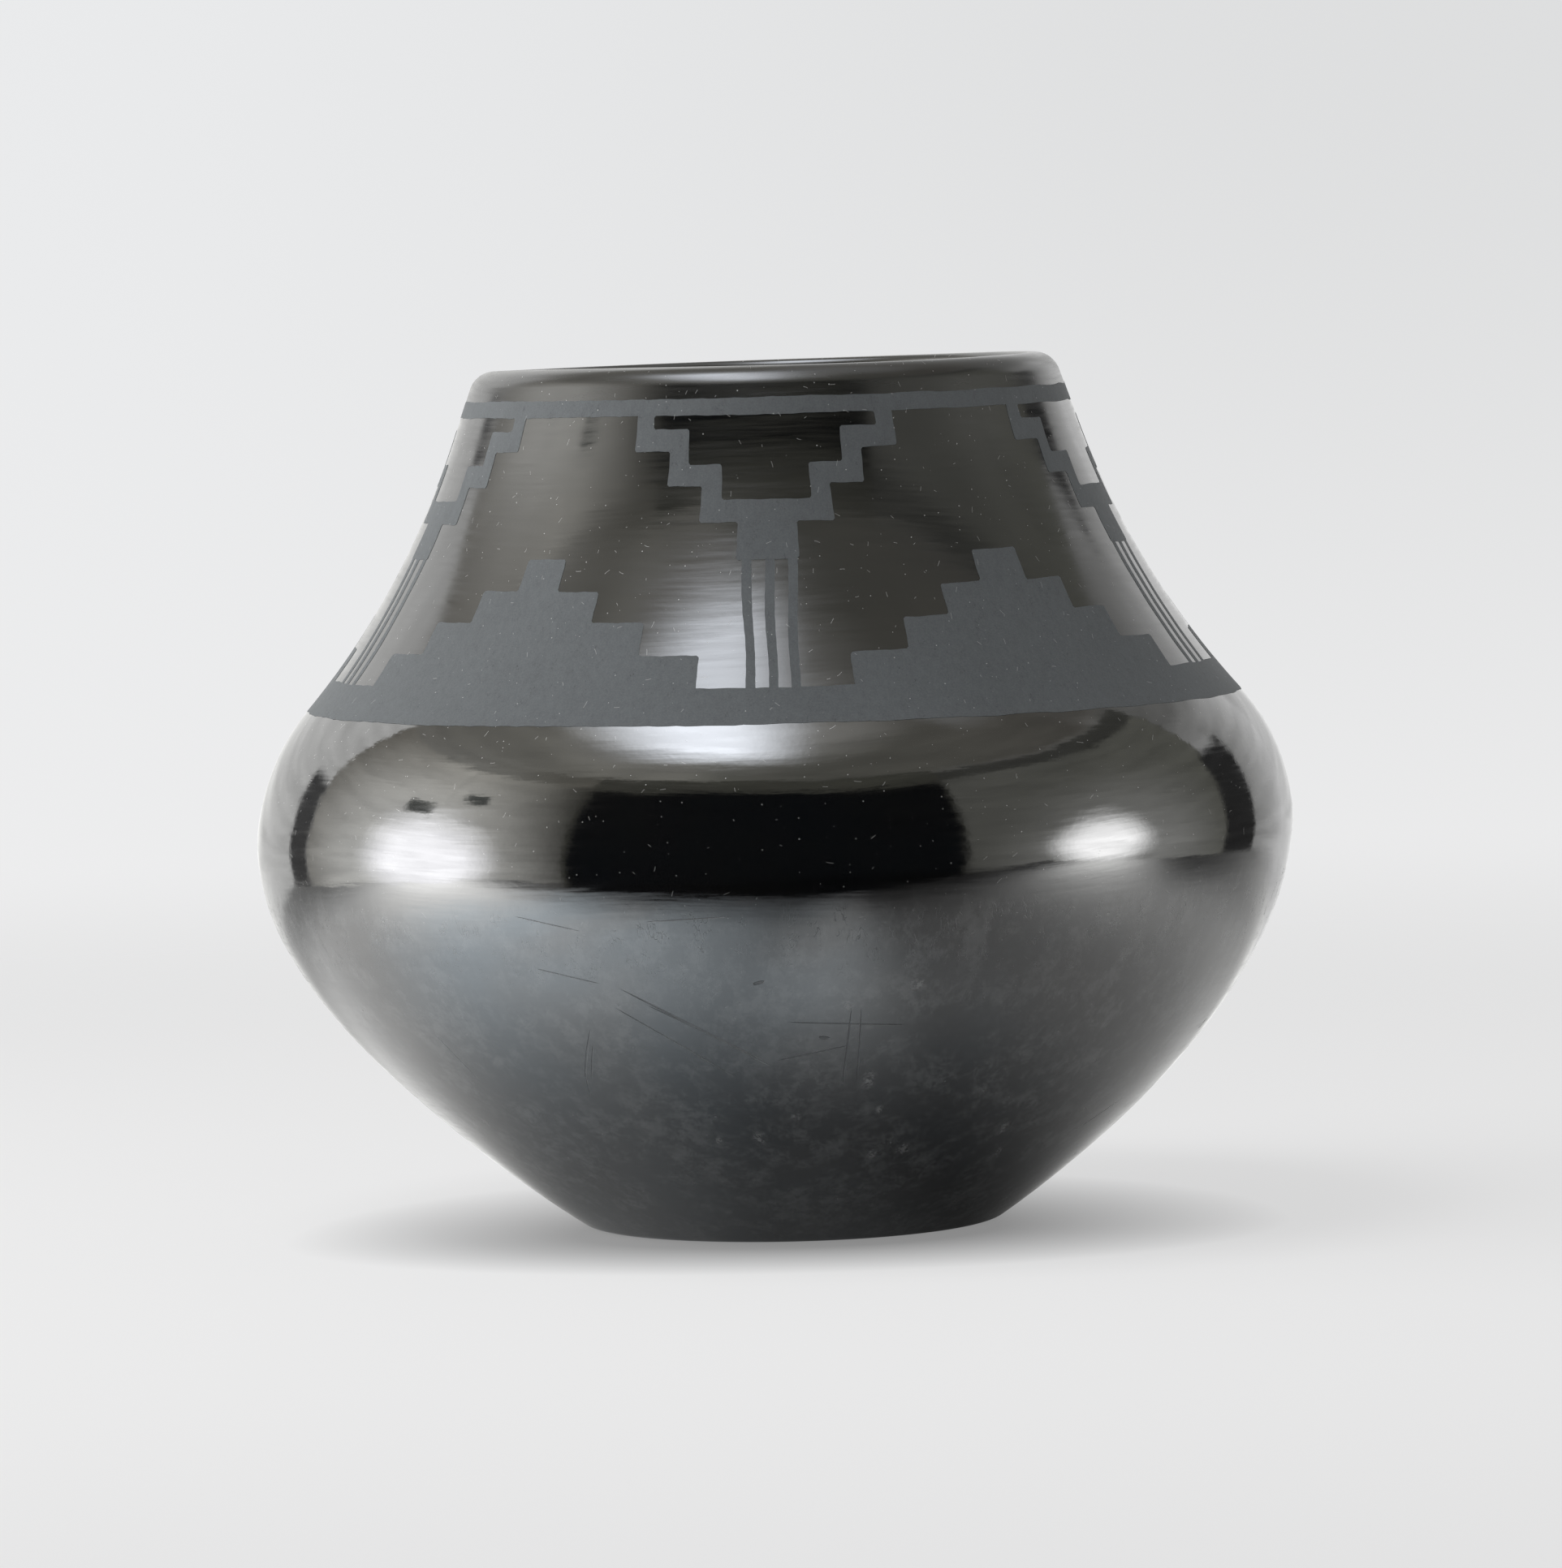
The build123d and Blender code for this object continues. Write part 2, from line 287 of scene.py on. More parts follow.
def handwork(theta, radius, height, inside=0.0):
    """Where a place of the true outline lies on the hand-built jar."""
    theta, radius, height = np.broadcast_arrays(theta, radius, height)
    wave = np.zeros(theta.shape)
    waves = zip(WAVE_SIZES, WAVE_TURNS, WAVE_LENGTHS, *WAVE_STARTS)
    for size, turns, length, first, second in waves:
        rise = np.cos(2 * math.pi * height / length + second)
        wave += size * np.cos(turns * theta + first) * rise
    ridge = np.sin(2 * math.pi * height / INSIDE_RIDGE_PITCH + 2 * np.cos(theta))
    ridge *= np.clip((JAR_HEIGHT - INSIDE_RIDGE_END - height) / INSIDE_RIDGE_FADE, 0, 1)
    wave += inside * INSIDE_RIDGE * ridge
    for middle, reach, swell in np.array(SWELLS) * MM:
        wave += swell * np.exp(-(((height - middle) / reach) ** 2))
    away = np.abs((theta - FRONT + math.pi) % (2 * math.pi) - math.pi)
    above = FULLNESS_BLEND * np.logaddexp(0, (height - FULLNESS_START) / FULLNESS_BLEND)
    fuller = np.exp(-((away / FRONT_REACH) ** 2)) * (1 - np.exp(-above / FULLNESS_RISE))
    wave += FRONT_FULLNESS * fuller
    wide = radius + wave * np.clip(radius / CENTRE_FADE, 0, 1)
    foot_fade = 1 + np.exp((height - FOOT_STRAY_HEIGHT) / FOOT_STRAY_REACH)
    stray = WHOLE_STRAY + FOOT_STRAY / foot_fade
    stray += BELLY_STRAY * np.exp(-(((height - BELLY_STRAY_HEIGHT) / BELLY_STRAY_REACH) ** 2))
    top = np.clip((height - LIP_WAVE_START) / (JAR_HEIGHT - LIP_WAVE_START), 0, 1) ** 2
    lift = LIP_WAVE * top * (np.sin(2 * theta + 0.6) + 0.6 * np.sin(3 * theta + 2.0) - 1.2)
    lift += LIP_TILT * top * np.cos(theta)
    return np.stack([wide * np.cos(theta) + stray, wide * np.sin(theta), height + lift], -1)


def facing(theta, radius, height, normal, inside=0.0):
    """The direction that the hand-built surface faces, outward, at a place of the outline."""
    small = 0.01 * MM
    turn = small / np.maximum(radius, MM)
    along_r, along_z = -np.sin(normal) * small, np.cos(normal) * small
    round_it = handwork(theta + turn, radius, height, inside)
    round_it = round_it - handwork(theta - turn, radius, height, inside)
    up_it = handwork(theta, radius + along_r, height + along_z, inside)
    up_it = up_it - handwork(theta, radius - along_r, height - along_z, inside)
    out = np.cross(round_it, up_it)
    return out / np.linalg.norm(out, axis=-1, keepdims=True)


class Shell:
    """Collects vertices, faces and the normal of each face corner, and makes a piece of them."""

    def __init__(self):
        self.points = []
        self.faces = []
        self.normals = []
        self.materials = []
        self.count = 0

    def add_points(self, points):
        first = self.count
        self.points.append(points.reshape(-1, 3))
        self.count += len(self.points[-1])
        return first

    def add_faces(self, faces, normals, materials=0):
        """Faces of one size and their materials, with a normal for each of their corners."""
        self.faces.append(faces)
        self.normals.append(normals.reshape(-1, 3))
        self.materials.append(np.broadcast_to(materials, len(faces)))

    def flat_faces(self, faces):
        """Faces of one size that keep their own flat normal."""
        points = np.concatenate(self.points)
        a, b, c = (points[faces[:, k]] for k in (0, 1, 2))
        flat = np.cross(b - a, c - a)
        flat /= np.maximum(np.linalg.norm(flat, axis=-1, keepdims=True), 1e-30)
        self.add_faces(faces, np.repeat(flat[:, None], faces.shape[1], axis=1))

    def piece(self, name, materials, *nodes):
        """Makes the piece, which rides on the jar and stands for its nodes."""
        mesh = bpy.data.meshes.new(name)
        faces = [face for block in self.faces for face in block.tolist()]
        mesh.from_pydata(np.concatenate(self.points).tolist(), [], faces)
        mesh.shade_smooth()
        mesh.normals_split_custom_set(np.concatenate(self.normals).tolist())
        for material in materials:
            mesh.materials.append(material)
        mesh.polygons.foreach_set("material_index", np.concatenate(self.materials))
        piece = bpy.data.objects.new(name, mesh)
        bpy.context.scene.collection.objects.link(piece)
        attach(piece, "root")
        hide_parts(*nodes)
        return piece


# Which of a course's materials is which, and where the shoulder between the painted lines is
OUTSIDE, RIM, SHOULDER = range(3)
SHOULDER_START = (SHOULDER_BAND_BOTTOM + SHOULDER_BAND_TOP) / 2
SHOULDER_END = (NECK_LINE_BOTTOM + NECK_LINE_TOP) / 2

TURNS = np.linspace(0, 2 * math.pi, TURN_STEPS, endpoint=False)
ACROSS = np.arange(TURN_STEPS)
AFTER = (ACROSS + 1) % TURN_STEPS


def add_side(shell, rows, inside, last_ring=None):
    """Adds one side of the wall, and returns where the points of its first and last rings start.

    The last ring can be one that the shell has already, which closes the wall at the lip.
    """
    radius, height, normal = (np.array(rows)[:, k][:, None] for k in range(3))
    points = handwork(TURNS[None], radius, height, inside)
    normals = facing(TURNS[None], radius, height, normal, inside) * (-1 if inside else 1)
    pole = radius[0, 0] == 0
    if pole:
        tip = shell.add_points(points[0, :1])
        points, normals = points[1:], normals[1:]
    count = len(points)
    if last_ring is None:
        first = shell.add_points(points)
        last_ring = first + (count - 1) * TURN_STEPS
    else:
        first = shell.add_points(points[:-1])
    rings = np.append(first + np.arange(count - 1) * TURN_STEPS, last_ring)[:, None]
    low, high = rings[:-1], rings[1:]
    quads = np.stack([low + ACROSS, low + AFTER, high + AFTER, high + ACROSS], -1)
    below, above = normals[:-1], normals[1:]
    corner_normals = np.stack([below, below[:, AFTER], above[:, AFTER], above], -2)
    if inside:
        quads, corner_normals = quads[..., ::-1], corner_normals[..., ::-1, :]
    foot = height[-count:][:-1, 0]
    kinds = np.full(len(foot), RIM)
    if not inside:
        kinds[foot <= SHOULDER_END] = SHOULDER
        kinds[foot <= SHOULDER_START] = OUTSIDE
    shell.add_faces(quads.reshape(-1, 4), corner_normals, np.repeat(kinds, TURN_STEPS))
    if pole:
        tips = np.full(TURN_STEPS, tip)
        fan = (tips, first + AFTER, first + ACROSS)
        fan_normals = np.stack([normals[0], normals[0][AFTER], normals[0]], -2)
        if inside:
            fan = (tips, first + ACROSS, first + AFTER)
        shell.add_faces(np.stack(fan, -1), fan_normals, kinds[0])
    return first, last_ring


def add_lap(shell, outer_ring, inner_ring, faces_up):
    """Closes the end of a course between a ring outside and a ring inside."""
    corners = [outer_ring + ACROSS, outer_ring + AFTER, inner_ring + AFTER, inner_ring + ACROSS]
    quads = np.stack(corners, -1)
    shell.flat_faces(quads if faces_up else quads[:, ::-1])


def nearest_row(rows, point):
    """Which row passes nearest to a point of the half section."""
    return int(np.argmin([math.dist(row[:2], point) for row in rows]))


def make_courses(materials):
    """Makes the base, the wall coils and the rim coil, which share the rings at their joints."""
    outer = underside_rows() + outside_rows()
    inner = floor_rows() + inside_rows()
    joints = [(0, 0)]
    for number in range(WALL_COIL_COUNT + 1):
        height = BASE_REACH + COURSE_RISE * number
        sides = [k for k, row in enumerate(outer) if row[0] > FOOT_CORNER_RADIUS]
        place = min(sides, key=lambda k: abs(outer[k][1] - height))
        point = outer[place]
        inward = point[2] + math.pi + LAP_ANGLE
        crossing = step_from(point, WALL / math.cos(LAP_ANGLE), inward)
        joints.append((place, nearest_row(inner, crossing)))
    joints.append((len(outer) - 1, len(inner) - 1))
    names = ["pressed_base"] + [f"wall_coil_{n + 1}" for n in range(WALL_COIL_COUNT)]
    for name, low, high in zip(names + ["rim_coil"], joints[:-1], joints[1:]):
        shell = Shell()
        is_rim = name == "rim_coil"
        outer_rings = add_side(shell, outer[low[0]:high[0] + 1], 0.0)
        lip = outer_rings[1] if is_rim else None
        inner_rings = add_side(shell, inner[low[1]:high[1] + 1], 1.0, lip)
        if not is_rim:
            add_lap(shell, outer_rings[1], inner_rings[1], True)
        if low != joints[0]:
            add_lap(shell, outer_rings[0], inner_rings[0], False)
        shell.piece(f"{name}_clay", materials, name)


# Brushwork: how far painted edges wander, by the length of the waves
BRUSH_SIZES = np.array((0.16, 0.10, 0.06, 0.04)) * MM
BRUSH_LENGTHS = np.array((34.0, 15.0, 7.0, 3.4)) * MM
BRUSH_TURNS = rng.normal(0, 1, (2, len(BRUSH_SIZES), 3))
BRUSH_STARTS = rng.uniform(0, 2 * math.pi, (2, len(BRUSH_SIZES)))


def brushed(theta, height):
    """A painted place of the outline as the brush left it: its angle and height."""
    radius, _ = outside_at(height)
    place = np.stack([radius * np.cos(theta), radius * np.sin(theta), height], -1)
    strays = []
    for turns, starts in zip(BRUSH_TURNS, BRUSH_STARTS):
        ways = turns / np.linalg.norm(turns, axis=-1, keepdims=True)
        phases = 2 * math.pi * (place @ ways.T) / BRUSH_LENGTHS + starts
        strays.append((BRUSH_SIZES * np.sin(phases)).sum(-1))
    return theta + strays[0] / radius, height + strays[1]


def skin_at(theta, height, rise):
    """Points of a skin that lies above the clay by a rise, and the way that it faces."""
    theta, height = brushed(theta, height)
    radius, normal = outside_at(height)
    points = handwork(theta, radius + rise * np.cos(normal), height + rise * np.sin(normal))
    return points, facing(theta, radius, height, normal)


def add_skin(shell, theta, height, triangles, rise):
    """Adds a closed patch of slip: its face, its back under the clay and the edge between."""
    face, normals = skin_at(theta, height, rise)
    back, _ = skin_at(theta, height, -SLIP_ROOT)
    front_first = shell.add_points(face)
    back_first = shell.add_points(back)
    shell.add_faces(front_first + triangles, normals[triangles])
    shell.add_faces(back_first + triangles[:, ::-1], -normals[triangles[:, ::-1]])
    sides = np.concatenate([triangles[:, [0, 1]], triangles[:, [1, 2]], triangles[:, [2, 0]]])
    codes = sides[:, 0] * len(face) + sides[:, 1]
    twins = sides[:, 1] * len(face) + sides[:, 0]
    rim = sides[~np.isin(codes, twins)]
    start, end = rim[:, 0], rim[:, 1]
    walls = (front_first + end, front_first + start, back_first + start, back_first + end)
    shell.flat_faces(np.stack(walls, -1))


def is_inside(points, loop):
    """Which points lie inside a closed loop."""
    x, y = points[:, 0][:, None], points[:, 1][:, None]
    ax, ay = loop[:, 0], loop[:, 1]
    bx, by = np.roll(ax, -1), np.roll(ay, -1)
    crosses = (ay > y) != (by > y)
    level = np.where(by == ay, 1.0, by - ay)
    return (crosses & (x < (bx - ax) * (y - ay) / level + ax)).sum(1) % 2 == 1


def softened(corners):
    """A closed outline with its corners cut by the brush and its sides divided evenly."""
    corners = np.array(corners)
    loop = []
    for before, corner, after in zip(np.roll(corners, 1, 0), corners, np.roll(corners, -1, 0)):
        for other in (before, after):
            way = (other - corner) / np.linalg.norm(other - corner)
            loop.append(corner + way * CORNER_CUT)
    loop = np.array(loop)
    fine = []
    for start, end in zip(loop, np.roll(loop, -1, 0)):
        count = max(1, round(np.linalg.norm(end - start) / EDGE_SPACING))
        fine.append(start + (end - start) * (np.arange(count) / count)[:, None])
    return np.concatenate(fine)


def filled(outline, windows=()):
    """Triangles that fill an outline round its windows, with their points."""
    low, high = outline.min(0), outline.max(0)
    steps = [np.arange(a, b, PAINT_GRID) for a, b in zip(low, high)]
    grid = np.stack(np.meshgrid(*steps), -1).reshape(-1, 2)
    loops = [outline, *windows]
    edge_points = np.concatenate(loops)
    gaps = np.linalg.norm(grid[:, None] - edge_points[None], axis=-1).min(1)
    grid = grid[(gaps > EDGE_SPACING) & is_painted(grid, outline, windows)]
    edges, first = [], 0
    for loop in loops:
        edges += [(first + k, first + (k + 1) % len(loop)) for k in range(len(loop))]
        first += len(loop)
    points = [Vector(place) for place in np.concatenate([edge_points, grid]) / MM]
    places, _, faces, *_ = delaunay_2d_cdt(points, edges, [], 0, 1e-6)
    places = np.array([tuple(place) for place in places]) * MM
    triangles = np.array(faces)
    triangles = triangles[is_painted(places[triangles].mean(1), outline, windows)]
    a, b, c = (places[triangles[:, k]] for k in range(3))
    backward = (b - a)[:, 0] * (c - a)[:, 1] < (b - a)[:, 1] * (c - a)[:, 0]
    triangles[backward] = triangles[backward][:, ::-1]
    return places, triangles


def is_painted(points, outline, windows):
    """Which points lie inside an outline and outside its windows."""
    painted = is_inside(points, outline)
    for window in windows:
        painted &= ~is_inside(points, window)
    return painted


def stepped_outline(start, step, half_widths, inset=0.0):
    """Corners of a stepped figure about its middle, its steps going up or down from a height.

    An inset draws it smaller inside itself, all but its base.
    """
    inward = math.copysign(inset, step)
    levels = [start]
    levels += [start + step * (number + 1) - inward for number in range(len(half_widths))]
    right = []
    for half_width, low, high in zip(half_widths, levels[:-1], levels[1:]):
        right += [(half_width - inset, low), (half_width - inset, high)]
    return right + [(-x, z) for x, z in reversed(right)]


def painted_line(name, slip, low, high):
    """A painted line all round the jar."""
    heights = np.linspace(low, high, max(3, math.ceil((high - low) / PAINT_GRID) + 1))
    height, theta = np.meshgrid(heights, TURNS, indexing="ij")
    low_ring = (np.arange(len(heights) - 1) * TURN_STEPS)[:, None]
    high_ring = low_ring + TURN_STEPS
    corners = (low_ring + ACROSS, low_ring + AFTER, high_ring + AFTER, high_ring + ACROSS)
    halves = [np.stack([corners[k] for k in half], -1) for half in ((0, 1, 2), (0, 2, 3))]
    triangles = np.concatenate(halves).reshape(-1, 3)
    shell = Shell()
    add_skin(shell, theta.ravel(), height.ravel(), triangles, BAND_RISE)
    return shell.piece(f"{name}_slip", [slip], name)


def painted_terraces(name, slip, start, step, width_shares, turn, window_steps):
    """The same stepped figure in every repeat, each a little different as a hand paints it."""
    half_widths = np.array(width_shares) * REPEAT_ANGLE / 2 * FIGURE_RADIUS
    shell = Shell()
    for number in range(REPEATS):
        jitter = rng.normal(0, FIGURE_JITTER, len(half_widths))
        middle = FRONT + turn + number * REPEAT_ANGLE
        middle += rng.normal(0, FIGURE_JITTER) / FIGURE_RADIUS
        corners = np.array(stepped_outline(start, step, half_widths + jitter))
        base = [0, len(corners) - 1]
        corners[base, 1] -= math.copysign(SLIP_OVERLAP, step)
        windows = []
        if window_steps:
            shown = (half_widths + jitter)[:window_steps]
            windows.append(softened(stepped_outline(start, step, shown, WINDOW_INSET)))
        places, triangles = filled(softened(corners), windows)
        theta = middle + places[:, 0] / FIGURE_RADIUS
        add_skin(shell, theta, places[:, 1], triangles, SLIP_RISE)
    return shell.piece(f"{name}_slip", [slip], name)


def painted_rain(name, slip):
    """Straight strokes from the tip of each hanging terrace down to the shoulder band."""
    shell = Shell()
    low, high = SHOULDER_BAND_TOP - SLIP_OVERLAP, HANGING_TIP + SLIP_OVERLAP
    pitch = RAIN_LINE_WIDTH + RAIN_LINE_GAP
    for number in range(REPEATS * RAIN_LINE_COUNT):
        repeat, place = divmod(number, RAIN_LINE_COUNT)
        middle = pitch * (place - (RAIN_LINE_COUNT - 1) / 2) + rng.normal(0, STROKE_JITTER)
        left, right = middle - RAIN_LINE_WIDTH / 2, middle + RAIN_LINE_WIDTH / 2
        corners = [(left, low), (right, low), (right, high), (left, high)]
        places, triangles = filled(softened(corners))
        radius, _ = outside_at(places[:, 1])
        theta = FRONT + repeat * REPEAT_ANGLE + np.arcsin(places[:, 0] / radius)
        add_skin(shell, theta, places[:, 1], triangles, STROKE_RISE)
    return shell.piece(f"{name}_slip", [slip], name)


def make_painting(slip):
    """Makes the framing lines, the stepped figures and the rain lines."""
    painted = [
        painted_line("neck_line", slip, NECK_LINE_BOTTOM, NECK_LINE_TOP),
        painted_line("shoulder_band", slip, SHOULDER_BAND_BOTTOM, SHOULDER_BAND_TOP),
        painted_terraces(
            "hanging_terraces", slip, NECK_LINE_BOTTOM, -HANGING_STEP_DEPTH,
            HANGING_WIDTH_SHARES, 0.0, HANGING_WINDOW_STEPS,
        ),
        painted_terraces(
            "rising_terraces", slip, SHOULDER_BAND_TOP, RISING_STEP_DEPTH,
            RISING_WIDTH_SHARES, REPEAT_ANGLE / 2, 0,
        ),
        painted_rain("rain_lines", slip),
    ]


class Graph:
    """Short calls that add shader nodes to a node tree and return their outputs."""

    def __init__(self, tree):
        self.tree = tree
        tree.nodes.clear()

    def add(self, kind, inputs=None, **settings):
        node = self.tree.nodes.new("ShaderNode" + kind)
        for key, value in settings.items():
            setattr(node, key, value)
        for key, value in (inputs or {}).items():
            socket = node.inputs[key]
            if isinstance(value, bpy.types.NodeSocket):
                self.tree.links.new(value, socket)
            else:
                socket.default_value = value
        return node

    def math(self, operation, first, second=0.0, third=0.0):
        inputs = {0: first, 1: second, 2: third}
        return self.add("Math", inputs, operation=operation).outputs[0]

    def times(self, first, second):
        """The product of two numbers."""
        return self.math("MULTIPLY", first, second)

    def times_plus(self, first, second, third):
        """The product of two numbers, and a third added to it."""
        return self.math("MULTIPLY_ADD", first, second, third)

    def split(self, vector):
        """The x, y and z of a vector or colour."""
        return self.add("SeparateXYZ", {0: vector}).outputs

    def join(self, x=0.0, y=0.0, z=0.0):
        """A vector of three numbers."""
        return self.add("CombineXYZ", {0: x, 1: y, 2: z}).outputs[0]

    def length(self, vector):
        return self.vector("LENGTH", vector)["Value"]

    def vector(self, operation, first, second=(0.0, 0.0, 0.0)):
        return self.add("VectorMath", {0: first, 1: second}, operation=operation).outputs

    def noise(self, place, scale, detail=2.0, roughness=0.5):
        """Noise of a place stretched by a scale for each axis, in waves per metre."""
        stretched = self.vector("MULTIPLY", place, scale)[0]
        inputs = {"Vector": stretched, "Scale": 1.0, "Detail": detail, "Roughness": roughness}
        return self.add("TexNoise", inputs).outputs["Fac"]

    def range(self, value, low, high, to_low=0.0, to_high=1.0, smooth=True):
        inputs = {"Value": value, 1: low, 2: high, 3: to_low, 4: to_high}
        kind = "SMOOTHSTEP" if smooth else "LINEAR"
        return self.add("MapRange", inputs, interpolation_type=kind).outputs[0]

    def mix(self, share, first, second):
        """A colour part way between two."""
        inputs = {0: share, 6: first, 7: second}
        return self.add("Mix", inputs, data_type="RGBA").outputs[2]

    def blend(self, share, first, second):
        """A shader part way between two."""
        return self.add("MixShader", {0: share, 1: first, 2: second}).outputs[0]

    def coat(self, base, roughness, gloss, relief):
        """Ends a material with one coat of a colour, a roughness, a gloss and a relief."""
        bump = self.add("Bump", {"Strength": 1.0, "Distance": 1.0, "Height": relief})
        inputs = {"Base Color": base, "Roughness": roughness, "IOR": gloss}
        inputs["Normal"] = bump.outputs[0]
        shader = self.add("BsdfPrincipled", inputs)
        self.end("OutputMaterial", shader.outputs[0])

    def end(self, kind, shader):
        """Makes a shader the result of the node tree."""
        self.add(kind, {0: shader})


def new_material(name):
    material = bpy.data.materials.new(name)
    material.use_nodes = True
    return material, Graph(material.node_tree)


def colour(red, green, blue):
    return (red, green, blue, 1.0)


# Where a flat sheet of the jar's outside is at its true width, and how long a degree is on it
SHEET_RADIUS = 100.0 * MM
DEGREE = math.radians(SHEET_RADIUS)

# Scratches on the lower body. Each gives the angle from the front in degrees and the height of
# its start and of its end, and its half width. Heights and widths are in millimetres.
SCRATCHES = [
    (-17.6, 66.8, -2.6, 49.0, 0.24),
    (-14.8, 62.8, -3.4, 50.4, 0.18),
    (-18.8, 62.1, -7.2, 46.4, 0.17),
    (-23.6, 56.5, -26.8, 45.4, 0.22),
    (-26.4, 47.1, -27.6, 40.6, 0.17),
    (-23.9, 53.0, -25.8, 45.5, 0.16),
    (1.6, 58.7, 14.0, 57.2, 0.15),
    (-0.4, 49.4, 7.4, 52.3, 0.14),
    (8.0, 60.5, 7.8, 43.5, 0.24),
    (9.2, 60.3, 9.6, 44.3, 0.20),
    (-27.2, 72.1, -21.0, 69.1, 0.14),
    (-28.4, 84.6, -22.2, 81.8, 0.14),
    (-13.4, 83.8, -5.8, 84.6, 0.14),
    (-3.1, 68.4, -1.9, 69.0, 0.40),
    (4.4, 54.8, 5.6, 54.5, 0.40),
]

# Pale scuffs there: the angle and height of the middle, and the half width and half height
SCUFFS = [
    (15.5, 66.8, 2.2, 1.7),
    (-4.0, 29.2, 2.6, 2.0),
    (19.4, 24.9, 2.8, 2.0),
    (14.3, 23.9, 1.9, 1.5),
    (13.6, 35.6, 1.4, 1.4),
    (1.6, 34.6, 2.0, 1.3),
    (11.2, 43.5, 2.4, 3.0),
    (-10.5, 28.7, 1.3, 1.2),
    (7.5, 62.5, 1.6, 1.6),
]

# The same kinds of wear on the sides and the back
for turn in rng.uniform(40, 320, 16):
    start = (turn, rng.uniform(18.0, 74.0))
    end = (start[0] + rng.normal(0, 5), start[1] + rng.normal(0, 9))
    SCRATCHES.append((*start, *end, 0.18))
for turn in rng.uniform(35, 325, 12):
    height = rng.uniform(18, 76)
    SCUFFS.append((turn, height, rng.uniform(1, 3), rng.uniform(1, 2.2)))


# The clay's looks: how far the stone's strokes sway, how softly the polish and the lower body
# begin, and where the lower body is wrinkled
SWAY = 12.0 * MM
POLISH_BLEND = 6.0 * MM
LOWER_BODY_HEIGHTS = (92.0 * MM, 80.0 * MM)
WRINKLE_HEIGHTS = (58.0 * MM, 78.0 * MM)
NOISE_MIDDLE = 0.5

# Dust: its colour, where it lies more thickly, and the size and bend of its hairs
DUST_COLOUR = colour(0.60, 0.60, 0.59)
DUST_START = 60.0 * MM
DUST_BLEND = 60.0 * MM
HAIR_HALF_WIDTH = 0.06 * MM
HAIR_REACH = 0.8 * MM
HAIR_BEND = 260.0


def sheet_place(graph, place):
    """A place of the jar as on a flat sheet: how far round from the front, and how high."""
    x, y, z = graph.split(place)
    turn = graph.math("ARCTAN2", x, graph.times(y, -1.0))
    round_it = graph.times(turn, SHEET_RADIUS)
    return graph.join(round_it, z)


def mark(graph, sheet, middle, angle, half_length, half_width):
    """A mark on the sheet that fades from 1 at its middle to 0 at its ends and sides."""
    inputs = {
        "Vector": sheet,
        "Location": (*middle, 0.0),
        "Rotation": (0.0, 0.0, angle),
        "Scale": (half_length, half_width, 1.0),
    }
    local = graph.add("Mapping", inputs, vector_type="TEXTURE").outputs[0]
    fade = graph.add("TexGradient", {0: local}, gradient_type="SPHERICAL")
    return fade.outputs["Fac"]


def on_sheet(turn, height):
    """The place on the sheet at an angle from the front and a height in millimetres."""
    return np.array((((turn + 180) % 360 - 180) * DEGREE, height * MM))


def scratches_on(graph, sheet):
    """How deep the scratches are at each place of the sheet."""
    depth = 0.0
    for *ends, half_width in SCRATCHES:
        start, end = on_sheet(*ends[:2]), on_sheet(*ends[2:])
        run, rise = end - start
        middle, half_length = (start + end) / 2, 0.62 * math.hypot(run, rise)
        angle = math.atan2(rise, run)
        groove = mark(graph, sheet, middle, angle, half_length, half_width * MM)
        depth = graph.math("MAXIMUM", groove, depth)
    return depth


def scuffs_on(graph, sheet):
    """How much the pale scuffs cover each place of the sheet."""
    cover = 0.0
    for turn, height, half_width, half_height in SCUFFS:
        middle = on_sheet(turn, height)
        scuff = mark(graph, sheet, middle, 0.0, half_width * MM, half_height * MM)
        cover = graph.math("MAXIMUM", scuff, cover)
    return cover


def hairlines(graph, place, scale, width, gap_scale, gap_from, gap_to):
    """Broken hairlines: where one noise is close to its middle and another one is high."""
    away = graph.math("SUBTRACT", graph.noise(place, scale, 1.0), NOISE_MIDDLE)
    lines = graph.range(graph.math("ABSOLUTE", away), width, 0.0)
    broken = graph.range(graph.noise(place, gap_scale, 1.0), gap_from, gap_to)
    return graph.times(lines, broken)


